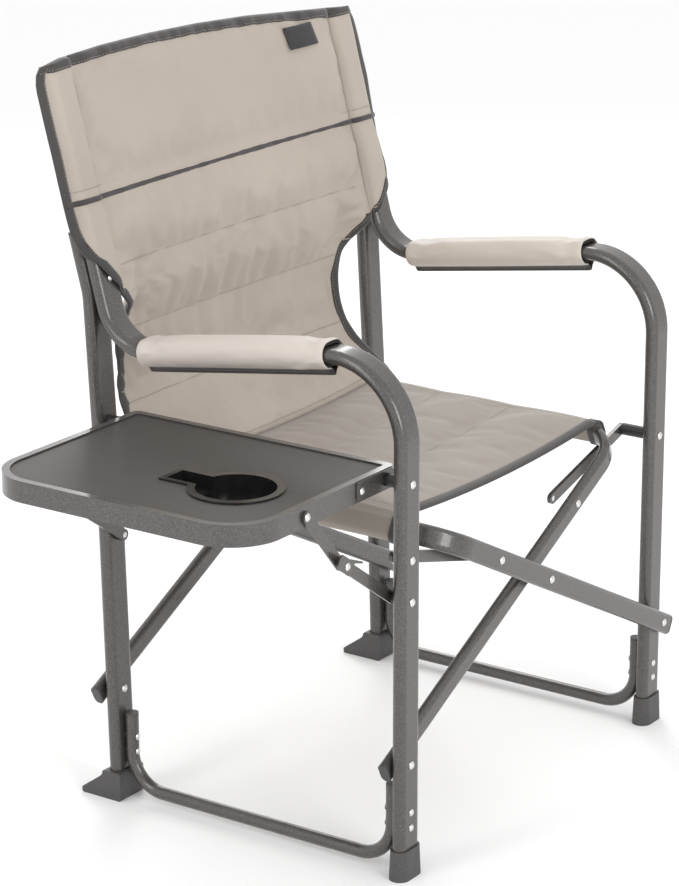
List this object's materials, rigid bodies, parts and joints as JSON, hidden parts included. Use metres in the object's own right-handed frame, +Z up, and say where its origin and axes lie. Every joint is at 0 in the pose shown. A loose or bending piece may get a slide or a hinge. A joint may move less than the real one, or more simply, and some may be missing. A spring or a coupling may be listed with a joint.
{
  "type": "folding camp chair",
  "caption": "Folding director-style camp chair with padded arms, fabric seat and back, scissor cross tubes and a drop-down side table with a cup well.",
  "frame": {"origin": "centre of the bounding box at floor level", "axes": "+Z up, -Y the way the sitter faces, +X the sitter's left"},
  "size_m": [0.8487, 0.5193, 0.8756],
  "materials": {
    "dark_plastic": "fine grained moulding",
    "bush_plastic": "satin",
    "bright_rivet": "polished zinc",
    "foam": "open foam",
    "sand_fabric": "coated plain weave",
    "table_board": "fine brushed grain",
    "cup_plastic": "smooth",
    "frame_paint": "hammered powder coat"
  },
  "bodies": {
    "right_side": {"right_frame_tube": "frame_paint", "right_rear_leg": "frame_paint", "right_lower_rail": "frame_paint", "right_frame_rivets": "bright_rivet", "right_front_foot": "dark_plastic", "right_rear_foot": "dark_plastic", "right_top_caps": "dark_plastic", "right_rail_plugs": "dark_plastic", "right_arm_foam": "foam", "right_arm_cover": "sand_fabric", "right_back_pocket": "sand_fabric", "right_cross_pins": "bright_rivet", "right_link_pins": "bright_rivet", "hinge_pins": "bright_rivet", "brace_leg_pins": "bright_rivet", "right_leg_bushes": "bush_plastic", "back_panel": "sand_fabric"},
    "cross_a": {"cross_tube_a": "frame_paint", "cross_plugs_a": "dark_plastic", "left_seat_sleeve": "sand_fabric", "crossing_pins": "bright_rivet", "crossing_bushes": "bush_plastic", "left_link_studs": "bright_rivet"},
    "cross_b": {"cross_tube_b": "frame_paint", "cross_plugs_b": "dark_plastic", "right_seat_sleeve": "sand_fabric", "right_link_studs": "bright_rivet", "right_link_bushes": "bush_plastic", "seat_panel": "sand_fabric"},
    "left_side": {"left_frame_tube": "frame_paint", "left_rear_leg": "frame_paint", "left_lower_rail": "frame_paint", "left_frame_rivets": "bright_rivet", "left_front_foot": "dark_plastic", "left_rear_foot": "dark_plastic", "left_top_caps": "dark_plastic", "left_rail_plugs": "dark_plastic", "left_arm_foam": "foam", "left_arm_cover": "sand_fabric", "left_back_pocket": "sand_fabric", "left_cross_pins": "bright_rivet", "left_link_pins": "bright_rivet", "left_link_bushes": "bush_plastic"},
    "right_links": {"right_front_link": "frame_paint", "right_rear_link": "frame_paint", "right_link_rivets": "bright_rivet"},
    "left_links": {"left_front_link": "frame_paint", "left_rear_link": "frame_paint", "left_link_rivets": "bright_rivet"},
    "table": {"table_rim": "frame_paint", "table_panel": "table_board", "cup_holder": "cup_plastic", "table_brackets": "frame_paint", "bracket_rivets": "bright_rivet", "brace_table_pins": "bright_rivet"},
    "brace_lower": {"brace_lower_links": "frame_paint", "brace_knee_rivets": "bright_rivet"},
    "brace_upper": {"brace_upper_links": "frame_paint"},
    "catch": {"brace_catch": "frame_paint"}
  },
  "joints": [
    {"name": "fold", "type": "hinge", "parent": "right_side", "child": "cross_a", "pos_m": [-0.16031, 0, 0.138], "axis": [0, -1, 0], "range_deg": [0, 38.11], "deforming": ["back_panel"]},
    {"name": "crossing", "type": "hinge", "parent": "cross_a", "child": "cross_b", "pos_m": [0.11969, 0, 0.28], "axis": [0, -1, 0], "range_deg": [-76.24, 0], "deforming": ["seat_panel"]},
    {"name": "left_frame", "type": "hinge", "parent": "cross_b", "child": "left_side", "pos_m": [0.3997, 0, 0.138], "axis": [0, -1, 0], "range_deg": [0, 38.13]},
    {"name": "right_link", "type": "hinge", "parent": "right_side", "child": "right_links", "pos_m": [-0.16031, 0, 0.38328], "axis": [0, -1, 0], "range_deg": [0, 78.23]},
    {"name": "left_link", "type": "hinge", "parent": "left_side", "child": "left_links", "pos_m": [0.3997, 0, 0.38328], "axis": [0, -1, 0], "range_deg": [-78.23, 0]},
    {"name": "table_fold", "type": "hinge", "parent": "right_side", "child": "table", "pos_m": [-0.16031, 0, 0.472], "axis": [0, -1, 0], "range_deg": [0, 90]},
    {"name": "brace_leg", "type": "hinge", "parent": "right_side", "child": "brace_lower", "pos_m": [-0.16031, 0, 0.334], "axis": [0, -1, 0], "range_deg": [0, 126.31]},
    {"name": "brace_table", "type": "hinge", "parent": "table", "child": "brace_upper", "pos_m": [-0.31631, 0, 0.472], "axis": [0, -1, 0], "range_deg": [-129.39, 0]},
    {"name": "catch_press", "type": "hinge", "parent": "brace_lower", "child": "catch", "pos_m": [-0.25357, 0, 0.39943], "axis": [0, -1, 0], "range_deg": [0, 12], "stiffness_Nm_per_rad": 0.08}
  ],
  "couplings": [
    {"joint": "crossing", "follows": "fold", "ratio": -2},
    {"joint": "left_frame", "follows": "fold", "ratio": 1},
    {"joint": "right_link", "follows": "fold", "ratio": 2.0522},
    {"joint": "left_link", "follows": "fold", "ratio": -2.0522},
    {"joint": "brace_leg", "follows": "table_fold", "ratio": 1.4032},
    {"joint": "brace_table", "follows": "table_fold", "ratio": -1.4374}
  ]
}
